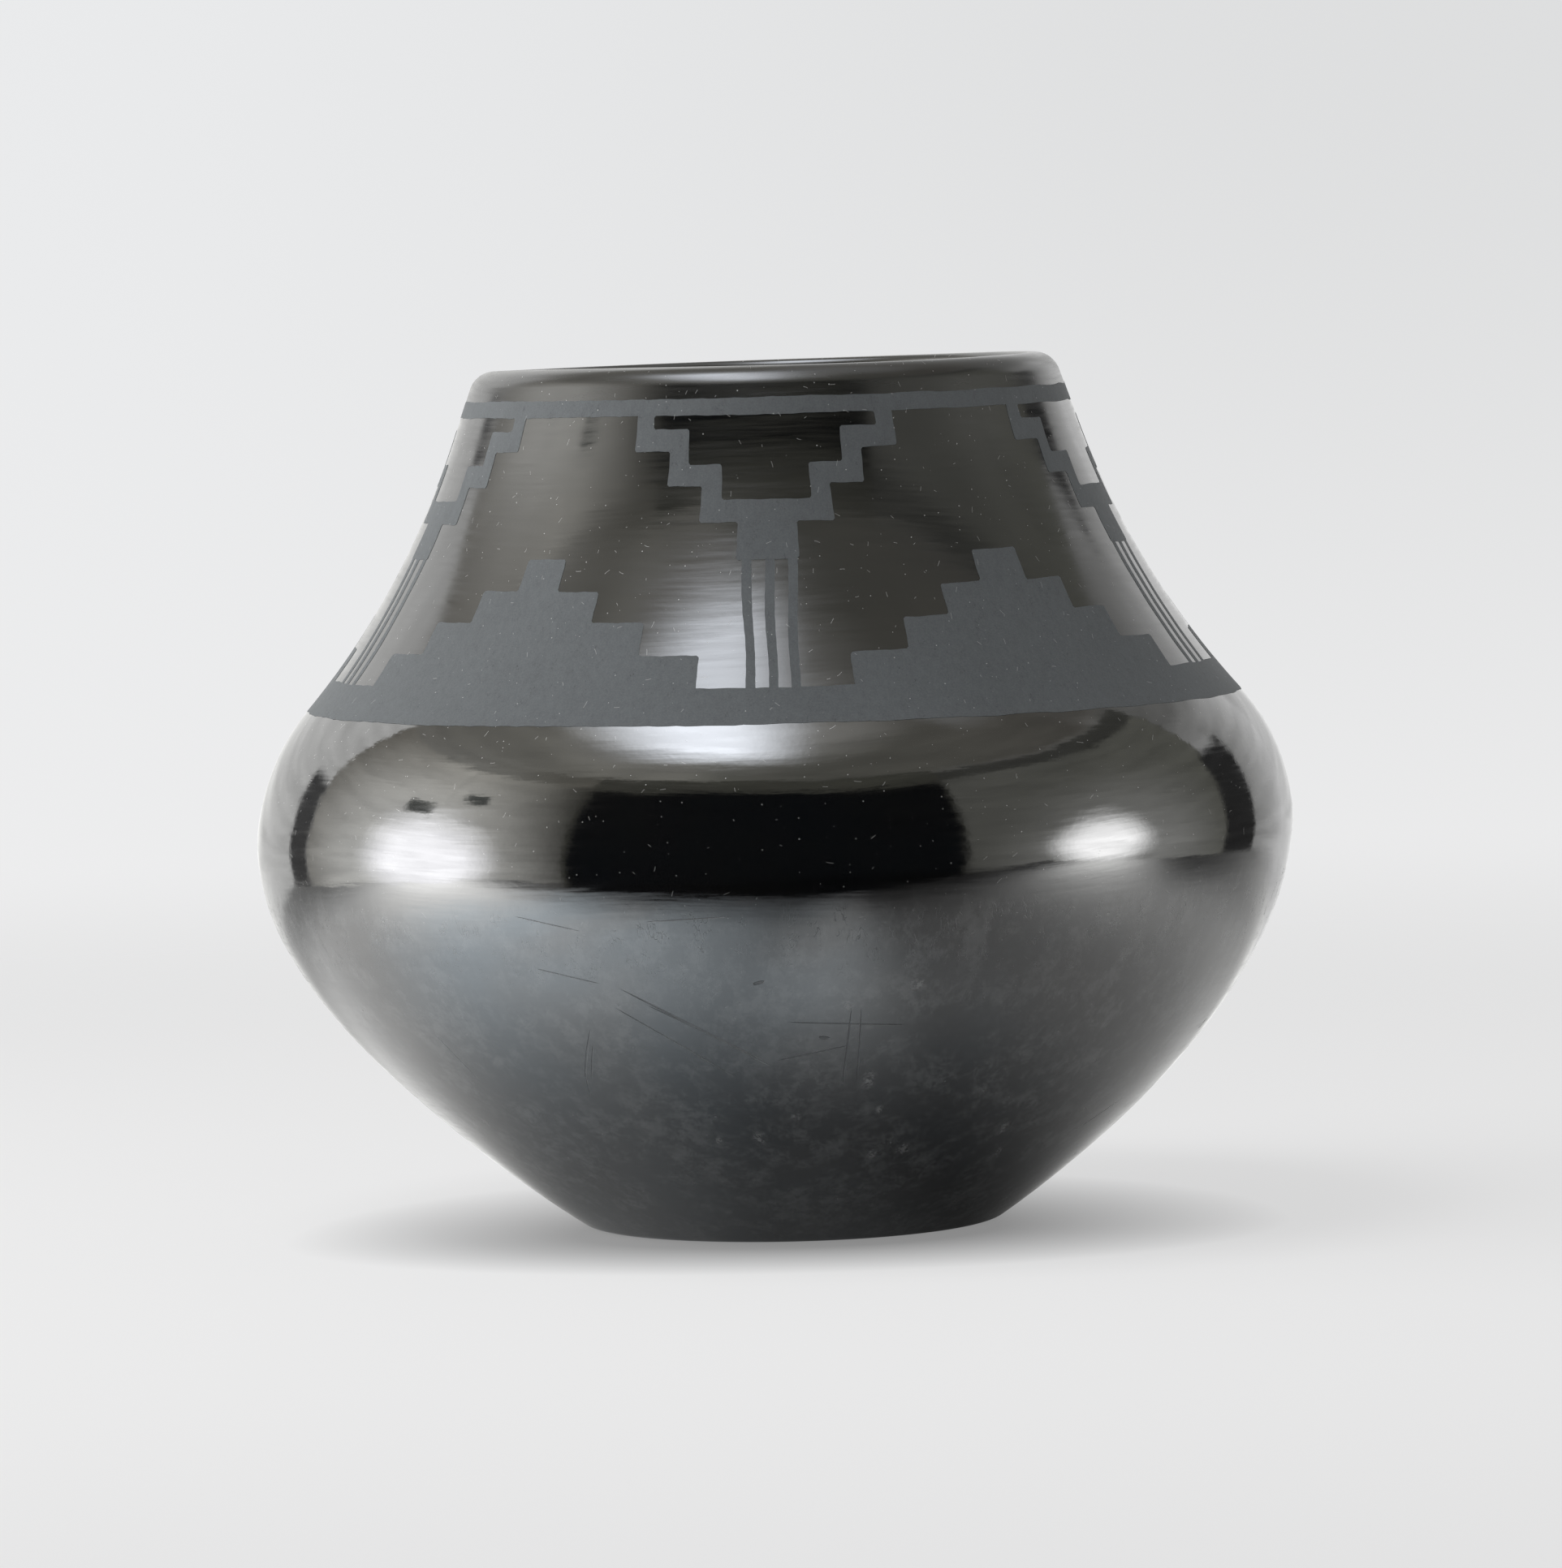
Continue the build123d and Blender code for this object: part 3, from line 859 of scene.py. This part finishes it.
def clay_material(name, polished_from, gloss, haze, worn):
    """Dark clay rubbed to a gloss with a stone above a height, and left duller below it.

    Worn clay also has the scratches, scuffs, smudges and fine wrinkles of the lower body.
    """
    material, graph = new_material(name)
    place = graph.add("TexCoord").outputs["Object"]
    height = graph.split(place)[2]
    sway = graph.noise(place, (9.0, 9.0, 14.0), 1.0)
    lift = graph.join(z=graph.times(sway, SWAY))
    along = graph.vector("ADD", place, lift)[0]

    streaks = graph.noise(along, (55.0, 55.0, 1000.0), 2.0, 0.6)
    strokes = graph.noise(along, (26.0, 26.0, 270.0), 2.0, 0.55)
    swells = graph.noise(along, (13.0, 13.0, 75.0), 1.0)
    patches = graph.noise(place, (30.0, 30.0, 42.0), 3.0, 0.6)

    mottle = graph.noise(place, (150.0, 150.0, 190.0), 3.0, 0.6)
    rubbed = graph.times_plus(streaks, 0.20, haze - 0.14)
    rubbed = graph.times_plus(strokes, 0.14, rubbed)
    relief = graph.times(streaks, 9.0e-6)
    relief = graph.times_plus(strokes, 5.0e-5, relief)
    relief = graph.times_plus(swells, 8.0e-5, relief)
    relief = graph.times_plus(mottle, 2.4e-5 if worn else 1.5e-5, relief)
    dark = graph.mix(patches, colour(0.003, 0.004, 0.005), colour(0.007, 0.006, 0.005))

    if worn:
        lower = graph.range(height, *LOWER_BODY_HEIGHTS)
        sheet = sheet_place(graph, place)
        smears = graph.noise(place, (55.0, 55.0, 75.0), 6.0, 0.72)
        smear = graph.times(graph.range(smears, 0.36, 0.66, smooth=False), lower)
        film = graph.range(graph.noise(place, (170.0, 170.0, 130.0), 6.0, 0.8), 0.42, 0.62)
        film = graph.times(film, graph.range(smears, 0.36, 0.60))
        spread, gaps = (1100.0, 1100.0, 260.0), (300.0, 300.0, 160.0)
        wrinkles = hairlines(graph, place, spread, 0.03, gaps, 0.50, 0.64)
        wrinkles = graph.times(wrinkles, graph.range(height, *WRINKLE_HEIGHTS))
        wrinkles = graph.times(wrinkles, lower)
        scratches = graph.range(scratches_on(graph, sheet), 0.0, 0.35)
        grit = graph.noise(place, (900.0, 900.0, 900.0), 3.0, 0.7)
        scuffs = graph.times(scuffs_on(graph, sheet), graph.range(grit, 0.38, 0.62))
        spots = graph.add("TexVoronoi", {"Vector": place, "Scale": 240.0})
        spots = graph.range(spots.outputs["Distance"], 0.13, 0.05)
        spots = graph.times(spots, graph.times(lower, film))

        rubbed = graph.times_plus(smear, 0.12, rubbed)
        rubbed = graph.times_plus(scratches, 0.50, rubbed)
        rubbed = graph.times_plus(scuffs, 0.45, rubbed)
        rubbed = graph.times_plus(spots, 0.25, rubbed)
        relief = graph.times_plus(scratches, -1.1e-4, relief)
        rubbed = graph.times_plus(wrinkles, 0.30, rubbed)
        relief = graph.times_plus(wrinkles, -1.5e-5, relief)
        relief = graph.times_plus(spots, -4.0e-5, relief)
        stain = graph.mix(patches, colour(0.002, 0.008, 0.013), colour(0.014, 0.010, 0.008))
        stain = graph.mix(film, stain, colour(0.062, 0.064, 0.065))
        dark = graph.mix(lower, dark, stain)
        dark = graph.mix(graph.times(scuffs, 0.8), dark, colour(0.20, 0.20, 0.20))

    edge = graph.times_plus(sway, SWAY, height)
    polish = graph.range(edge, polished_from, polished_from + POLISH_BLEND)
    roughness = graph.range(polish, 0.0, 1.0, 0.42, 0.0, smooth=False)
    roughness = graph.math("ADD", roughness, rubbed)
    dull = graph.mix(patches, colour(0.016, 0.016, 0.017), colour(0.030, 0.028, 0.026))
    base = graph.mix(polish, dull, dark)
    dust = dust_mask(graph, place)
    base = graph.mix(dust, base, DUST_COLOUR)
    roughness = graph.times_plus(dust, 0.4, roughness)

    graph.coat(base, roughness, gloss, relief)
    return material


def dust_mask(graph, place):
    """Where specks and short bent hairs of pale dust lie, fewer of them on the lower body."""
    cells = graph.add("TexVoronoi", {"Vector": place, "Scale": 600.0})
    chance, *_ = graph.split(cells.outputs["Color"])
    size = graph.range(chance, 0.30, 1.0, 0.0, 0.095, smooth=False)
    specks = graph.math("LESS_THAN", cells.outputs["Distance"], size)

    sheet = sheet_place(graph, place)
    inputs = {"Vector": sheet, "Scale": 165.0}
    cells = graph.add("TexVoronoi", inputs, voronoi_dimensions="2D")
    turn, length, bend = graph.split(cells.outputs["Color"])
    away = graph.vector("SUBTRACT", sheet, cells.outputs["Position"])[0]
    angle = graph.times(turn, 2 * math.pi)
    axis = {"Vector": away, "Angle": angle, "Axis": (0.0, 0.0, 1.0)}
    away = graph.add("VectorRotate", axis).outputs[0]
    ahead, aside, _ = graph.split(away)
    bow = graph.times(graph.times(ahead, ahead), HAIR_BEND)
    aside = graph.times_plus(graph.math("SUBTRACT", bend, 0.2), bow, aside)
    thin = graph.math("LESS_THAN", graph.math("ABSOLUTE", aside), HAIR_HALF_WIDTH)
    reach = graph.range(length, 0.50, 1.0, 0.0, HAIR_REACH, smooth=False)
    short = graph.math("LESS_THAN", graph.math("ABSOLUTE", ahead), reach)
    hairs = graph.times(thin, short)

    dust = graph.times_plus(hairs, 0.45, graph.times(specks, 0.75))
    height = graph.split(place)[2]
    settled = graph.range(height, DUST_START, DUST_START + DUST_BLEND, 0.15, 1.0)
    return graph.times(graph.math("MINIMUM", dust, 0.8), settled)


SLIP_ROUGHNESS = 0.62
SLIP_GLOSS = 1.5


def slip_material():
    """Thin matte slip with the marks of the brush, fine grain and hairline cracks."""
    material, graph = new_material("matte_slip_paint")
    place = graph.add("TexCoord").outputs["Object"]
    brush = graph.noise(place, (700.0, 700.0, 110.0), 2.0, 0.6)
    grain = graph.noise(place, (2400.0, 2400.0, 2400.0), 2.0, 0.7)
    patches = graph.noise(place, (28.0, 28.0, 28.0), 2.0)
    spread, gaps = (1500.0, 1500.0, 150.0), (420.0, 420.0, 300.0)
    cracks = hairlines(graph, place, spread, 0.022, gaps, 0.54, 0.64)
    tone = graph.times_plus(brush, 0.35, graph.times(patches, 0.3))
    tone = graph.times_plus(grain, 0.75, tone)
    base = graph.mix(tone, colour(0.052, 0.056, 0.059), colour(0.150, 0.162, 0.169))
    base = graph.mix(graph.times(cracks, 0.6), base, colour(0.040, 0.042, 0.044))
    dust = dust_mask(graph, place)
    base = graph.mix(dust, base, DUST_COLOUR)
    relief = graph.times(brush, 1.2e-5)
    relief = graph.times_plus(grain, 2.0e-5, relief)
    relief = graph.times_plus(cracks, -1.5e-5, relief)
    graph.coat(base, SLIP_ROUGHNESS, SLIP_GLOSS, relief)
    return material


# The studio as the gloss of the jar shows it. Each entry covers those before it. Azimuth 0 is
# towards the camera and 90 to its right, and all angles are in degrees. A pane gives azimuths
# from and to, elevations from and to, the widths of its upright and level soft edges, and its
# colours at the first azimuth and at the last. A glow gives the azimuth and elevation of its
# middle, its half widths, how much of them is soft, and its colour.
PANE, GLOW = "pane", "glow"
STUDIO = (
    (PANE, -190, 190, -90, 50, 8, 8, (1.16, 1.16, 1.14), 1.02),
    (PANE, 110, 200, 21, 90, 10, 32, (0.24, 0.24, 0.23), (0.42, 0.42, 0.41)),
    (PANE, -190, -10, 41, 91, 8, 8, (0.30, 0.29, 0.26), (0.46, 0.45, 0.40)),
    (PANE, -20, 110, 41, 91, 16, 8, (0.24, 0.24, 0.21), (0.18, 0.17, 0.15)),
    (PANE, 104, 190, 44, 91, 16, 8, (0.20, 0.19, 0.17), (0.38, 0.37, 0.35)),
    (PANE, 76, 190, 61, 91, 16, 9, (0.36, 0.36, 0.35), (0.42, 0.42, 0.41)),
    (GLOW, -28, 68, 25, 16, 0.65, (0.62, 0.61, 0.58)),
    (PANE, -127, -44, -90, 44, 1.5, 1.5, (0.34, 0.33, 0.30), (0.28, 0.27, 0.23)),
    (PANE, -127, -84, -90, 39, 1.5, 1.5, (0.33, 0.31, 0.27), (0.86, 0.83, 0.74)),
    (PANE, -84, -45, -90, 39, 6, 1.5, (0.86, 0.83, 0.74), (0.06, 0.06, 0.05)),
    (PANE, 41, 121, -90, 43, 1.5, 1.5, (0.10, 0.10, 0.09), (0.10, 0.10, 0.09)),
    (PANE, 43, 121, -90, 38, 1.5, 1.5, (0.21, 0.21, 0.19), (0.23, 0.23, 0.20)),
    (PANE, 130, 155, -90, 25, 2, 8, (0.50, 0.50, 0.49), 1.10),
    (GLOW, -90, -6, 28, 32, 0.8, (1.60, 1.60, 1.55)),
    (GLOW, 84, -6, 23, 22, 0.8, (0.62, 0.62, 0.60)),
    (PANE, -136, -127, -12, 16, 2, 3, 0.12, 0.12),
    (PANE, 119, 133, -12, 20, 2, 3, 0.05, 0.05),
    (PANE, -47, 43, -90, 44, 2, 2, (0.12, 0.12, 0.10), (0.11, 0.11, 0.09)),
    (PANE, -46, 43, -90, 37.5, 3, 2.5, (0.004, 0.005, 0.006), (0.004, 0.005, 0.006)),
    (GLOW, -84, 1, 17, 17, 0.42, (3.6, 3.6, 3.7)),
    (GLOW, 77.5, -1, 11.5, 11.5, 0.50, 3.4),
    (PANE, -95, -86, 19.5, 23.5, 2, 1.5, (0.16, 0.17, 0.16), (0.16, 0.17, 0.16)),
    (PANE, -79, -72, 26, 29.5, 2, 1.5, (0.16, 0.17, 0.16), (0.16, 0.17, 0.16)),
)

# The lamp overhead: from where to where it lies east, how soft it is there, between which
# elevations and how far south it comes in, and its colour
OVERHEAD_EAST = (-0.37, 0.00)
OVERHEAD_SOFT = 0.32
OVERHEAD_ELEVATIONS = (50.5, 62.5)
OVERHEAD_SOUTH = (-0.22, -0.02)
OVERHEAD_COLOUR = (3.3, 3.45, 3.7)


def band(graph, value, low, high, soft):
    """1 between two values and 0 outside them, with soft edges."""
    rise = graph.range(value, low - soft / 2, low + soft / 2)
    fall = graph.range(value, high + soft / 2, high - soft / 2)
    return graph.times(rise, fall)


def pane_mask(graph, azimuth, elevation, west, east, low, high, soft, level_soft):
    """Where a pane of the studio shows."""
    across = band(graph, azimuth, west, east, soft)
    return graph.times(across, band(graph, elevation, low, high, level_soft))


def oval(graph, across, up, wide, tall):
    """The square of how far out a place is, where an oval round the middle is at 1."""
    across, up = graph.math("DIVIDE", across, wide), graph.math("DIVIDE", up, tall)
    return graph.times_plus(across, across, graph.times(up, up))


def glow_mask(graph, azimuth, elevation, middle, rise, wide, tall, soft):
    """Where a glow of the studio shows: an oval with a soft edge."""
    narrowing = graph.math("COSINE", graph.math("RADIANS", elevation))
    across = graph.times(graph.math("SUBTRACT", azimuth, middle), narrowing)
    reach = oval(graph, across, graph.math("SUBTRACT", elevation, rise), wide, tall)
    return graph.range(graph.math("SQRT", reach), 1.0 + soft, 1.0 - soft)


def shade_of(value):
    """A colour from its red, green and blue, or from one number where it is grey."""
    return colour(*(value if isinstance(value, tuple) else (value,) * 3))


def studio_light(graph, way, east, south, up):
    """The light that the gloss finds in each direction."""
    azimuth = graph.math("DEGREES", graph.math("ARCTAN2", east, south))
    elevation = graph.math("DEGREES", graph.math("ARCSINE", up))
    studio = colour(0.3, 0.3, 0.3)
    for kind, *shape, shade in STUDIO:
        if kind == PANE:
            first = shape.pop()
            mask = pane_mask(graph, azimuth, elevation, *shape)
            share = graph.range(azimuth, shape[0], shape[1], smooth=False)
            shade = graph.mix(share, shade_of(first), shade_of(shade))
        else:
            mask = glow_mask(graph, azimuth, elevation, *shape)
            shade = shade_of(shade)
        studio = graph.mix(mask, studio, shade)
    lamp = band(graph, east, *OVERHEAD_EAST, OVERHEAD_SOFT)
    lamp = graph.times(lamp, graph.range(elevation, *OVERHEAD_ELEVATIONS))
    lamp = graph.times(lamp, graph.range(south, *OVERHEAD_SOUTH))
    studio = graph.mix(lamp, studio, colour(*OVERHEAD_COLOUR))
    uneven = graph.noise(way, (3.0, 3.0, 22.0), 2.0)
    uneven = graph.range(uneven, 0.3, 0.7, 0.86, 1.14, smooth=False)
    uneven = graph.times(uneven, graph.range(elevation, -17.0, -11.0, 0.3, 1.0))
    uneven = graph.join(uneven, uneven, uneven)
    return graph.vector("MULTIPLY", studio, uneven)[0]


# The backdrop as the camera sees it, and the soft light from all round
BACKDROP_WEST = colour(0.823, 0.83, 0.84)
BACKDROP_EAST = colour(0.73, 0.735, 0.74)
BACKDROP_FOOT = colour(0.85, 0.85, 0.855)
AMBIENT_WEST = colour(0.40, 0.40, 0.40)
AMBIENT_EAST = colour(0.18, 0.18, 0.18)


def make_world():
    """Lights the scene softly, shows a pale backdrop and puts the studio into the gloss."""
    world = bpy.data.worlds.new("studio")
    bpy.context.scene.world = world
    world.use_nodes = True
    graph = Graph(world.node_tree)
    way = graph.add("TexCoord").outputs["Generated"]
    east, north, up = graph.split(way)
    south = graph.times(north, -1.0)
    studio = studio_light(graph, way, east, south, up)

    # Painted shade and light: the backdrop darkens towards the east and is palest low down by the
    # floor
    seen = graph.mix(graph.range(east, -0.11, 0.09), BACKDROP_WEST, BACKDROP_EAST)
    seen = graph.mix(graph.range(up, -0.11, 0.03), BACKDROP_FOOT, seen)
    path = graph.add("LightPath").outputs
    ambient = graph.mix(graph.range(east, -1.0, 1.0), AMBIENT_WEST, AMBIENT_EAST)
    light = graph.mix(path["Is Glossy Ray"], ambient, studio)
    light = graph.mix(path["Is Camera Ray"], light, seen)
    shader = graph.add("Background", {0: light, 1: 1.0})
    graph.end("OutputWorld", shader.outputs[0])


# The floor as the camera sees it, with the shadow close round the foot, which is drawn since
# the floor's own glow hides most of what the lamps cast
FLOOR_SIZE = 3.0
FLOOR_COLOUR = colour(0.82, 0.82, 0.82)
FLOOR_GLOW = colour(0.893, 0.893, 0.896)
FLOOR_GLOW_SHARE = 0.70
FLOOR_FADE = (0.5, 1.4)
FOOT_SHADOW_MIDDLE = -0.025
FOOT_SHADOW_REACH = (0.055, 0.132)
FOOT_SHADOW_DEPTH = 0.37

# The table as the gloss shows it, and its tints by daylight
TABLE_FRONT = -0.345
TABLE_BACK = 0.34
TABLE_SIDE = 0.52
TABLE_TINT = colour(1.0, 1.0, 0.985)
TABLE_COOL_TINT = colour(0.905, 1.0, 1.065)

# Pools of light on the table as the gloss shows them: middle, reach and strength
POOLS = (
    (-0.605, -0.159, 0.386, 0.168, 3.22),
    (-0.080, 0.087, 0.300, 0.084, 0.68),
    (0.477, -0.183, 0.171, 0.107, 1.95),
    (0.263, -0.036, 0.124, 0.143, 0.42),
    (0.096, 0.353, 0.316, 0.198, 1.48),
)


def make_floor():
    """A plain pale floor that fades into the backdrop, its glow dimming a little towards the
    front, with a painted shadow round the foot; the gloss sees a table instead, which glows with
    painted light and painted shade.
    """
    material, graph = new_material("floor_paper")
    place = graph.add("TexCoord").outputs["Object"]
    x, y, _ = graph.split(place)
    path = graph.add("LightPath").outputs
    lit = graph.add("BsdfDiffuse", {0: FLOOR_COLOUR}).outputs[0]
    # Painted shade: the floor's glow dims a little towards the front, and is painted darker round
    # the foot as its shadow
    nearer = graph.range(y, -0.75, -0.25, 0.95, 1.0)
    behind = graph.math("SUBTRACT", y, FOOT_SHADOW_MIDDLE)
    behind = graph.math("MAXIMUM", behind, graph.times(behind, -1.5))
    round_foot = graph.length(graph.join(graph.times(x, 1.08), behind))
    shade = graph.range(round_foot, *FOOT_SHADOW_REACH, FOOT_SHADOW_DEPTH, 1.0, smooth=False)
    glow = {0: FLOOR_GLOW, 1: graph.times(nearer, shade)}
    seen = graph.blend(FLOOR_GLOW_SHARE, lit, graph.add("Emission", glow).outputs[0])
    far = graph.range(graph.length(place), *FLOOR_FADE)
    clear = graph.add("BsdfTransparent").outputs[0]
    seen = graph.blend(far, seen, clear)

    front = graph.range(y, TABLE_FRONT - 0.003, TABLE_FRONT + 0.003)
    side = graph.range(graph.math("ABSOLUTE", x), TABLE_SIDE + 0.01, TABLE_SIDE - 0.01)
    back = graph.range(y, TABLE_BACK + 0.05, TABLE_BACK - 0.05)
    table = graph.times(graph.times(front, side), back)
    # The table that the gloss shows is painted light: it glows brighter to the west, with painted
    # pools of light and a painted streak of light
    glowing = graph.range(x, -0.10, 0.05, 0.31, 0.045)
    for middle_x, middle_y, reach_x, reach_y, strength in POOLS:
        across, along = graph.math("SUBTRACT", x, middle_x), graph.math("SUBTRACT", y, middle_y)
        reach = oval(graph, across, along, reach_x, reach_y)
        pool = graph.math("POWER", math.e, graph.times(reach, -1.0))
        glowing = graph.times_plus(pool, strength, glowing)
    drift = graph.math("SUBTRACT", x, graph.times_plus(y, -0.24, -0.012))
    streak = graph.range(graph.math("ABSOLUTE", drift), 0.050, 0.0, 0.0, 0.28)
    glowing = graph.math("ADD", glowing, streak)
    # Painted shade towards the table's front edge, and a painted shadow round the foot, deepest
    # to the east
    ahead = graph.range(y, TABLE_FRONT - 0.055, TABLE_FRONT + 0.130)
    least = graph.range(x, -0.05, 0.0, 0.37, 0.14)
    aside = graph.math("MAXIMUM", x, graph.times(x, -0.80))
    near = graph.join(aside, graph.math("ADD", y, 0.04))
    under = graph.range(graph.length(near), 0.041, 0.126, least, 1.0)
    glowing = graph.times(glowing, graph.times(ahead, under))
    cool = graph.range(graph.math("ABSOLUTE", graph.math("ADD", x, 0.11)), 0.26, 0.08)
    cool = graph.times(cool, graph.range(y, 0.01, -0.10))
    patchy = graph.range(graph.noise(place, (9.0, 9.0, 9.0), 1.0), 0.40, 0.60)
    cool = graph.times(cool, graph.times_plus(patchy, -0.4, 1.0))
    tint = graph.mix(cool, TABLE_TINT, TABLE_COOL_TINT)
    mirrored = graph.add("Emission", {0: tint, 1: glowing}).outputs[0]
    mirrored = graph.blend(table, clear, mirrored)
    other = graph.blend(path["Is Glossy Ray"], lit, mirrored)
    both = graph.blend(path["Is Camera Ray"], other, seen)
    graph.end("OutputMaterial", both)

    mesh = bpy.data.meshes.new("floor")
    corners = [(-FLOOR_SIZE, -FLOOR_SIZE, 0), (FLOOR_SIZE, -FLOOR_SIZE, 0)]
    corners += [(FLOOR_SIZE, FLOOR_SIZE, 0), (-FLOOR_SIZE, FLOOR_SIZE, 0)]
    mesh.from_pydata(corners, [], [(0, 1, 2, 3)])
    mesh.materials.append(material)
    floor = bpy.data.objects.new("floor", mesh)
    bpy.context.scene.collection.objects.link(floor)


# The lamps: name, place, side and watts
LAMPS = (
    ("key", (-1.15, -0.10, 0.45), 0.8, 8.5),
    ("fill", (1.15, -0.28, 0.35), 0.6, 1.2),
    ("overhead", (-0.42, -0.28, 1.40), 0.6, 6.5),
)


def add_lamp(name, place, side, watts):
    """A soft square lamp that faces the jar and doesn't show in its gloss."""
    light = bpy.data.lights.new(name, "AREA")
    light.shape = "RECTANGLE"
    light.size, light.size_y = side, side
    light.energy = watts
    lamp = bpy.data.objects.new(name, light)
    lamp.location = place
    aim = Vector((0, 0, 0.1)) - Vector(place)
    lamp.rotation_euler = aim.to_track_quat("-Z", "Y").to_euler()
    lamp.visible_glossy = False
    bpy.context.scene.collection.objects.link(lamp)


CAMERA_PLACE = (0.0011, -2.0146, 0.2294)
CAMERA_PITCH = math.radians(3.466)
CAMERA_ROLL = math.radians(1.489)
CAMERA_LENS = 188.565
SENSOR = 36.0


def add_camera():
    """The camera of the photograph."""
    camera = bpy.data.cameras.new("camera")
    camera.lens = CAMERA_LENS
    camera.sensor_width = SENSOR
    camera.sensor_height = SENSOR
    camera.sensor_fit = "AUTO"
    holder = bpy.data.objects.new("camera", camera)
    tilt = Matrix.Rotation(math.pi / 2 - CAMERA_PITCH, 4, "X")
    roll = Matrix.Rotation(-CAMERA_ROLL, 4, "Z")
    holder.matrix_world = Matrix.Translation(CAMERA_PLACE) @ tilt @ roll
    bpy.context.scene.collection.objects.link(holder)
    bpy.context.scene.camera = holder


make_courses([
    clay_material("burnished_clay_outside", -1.0, 3.0, 0.04, True),
    clay_material("burnished_clay_rim", 0.182, 2.4, 0.21, False),
    clay_material("burnished_clay_shoulder", -1.0, 2.4, 0.12, False),
])
make_painting(slip_material())
make_world()
make_floor()
for lamp in LAMPS:
    add_lamp(*lamp)
add_camera()
bpy.context.scene.view_settings.view_transform = "Standard"
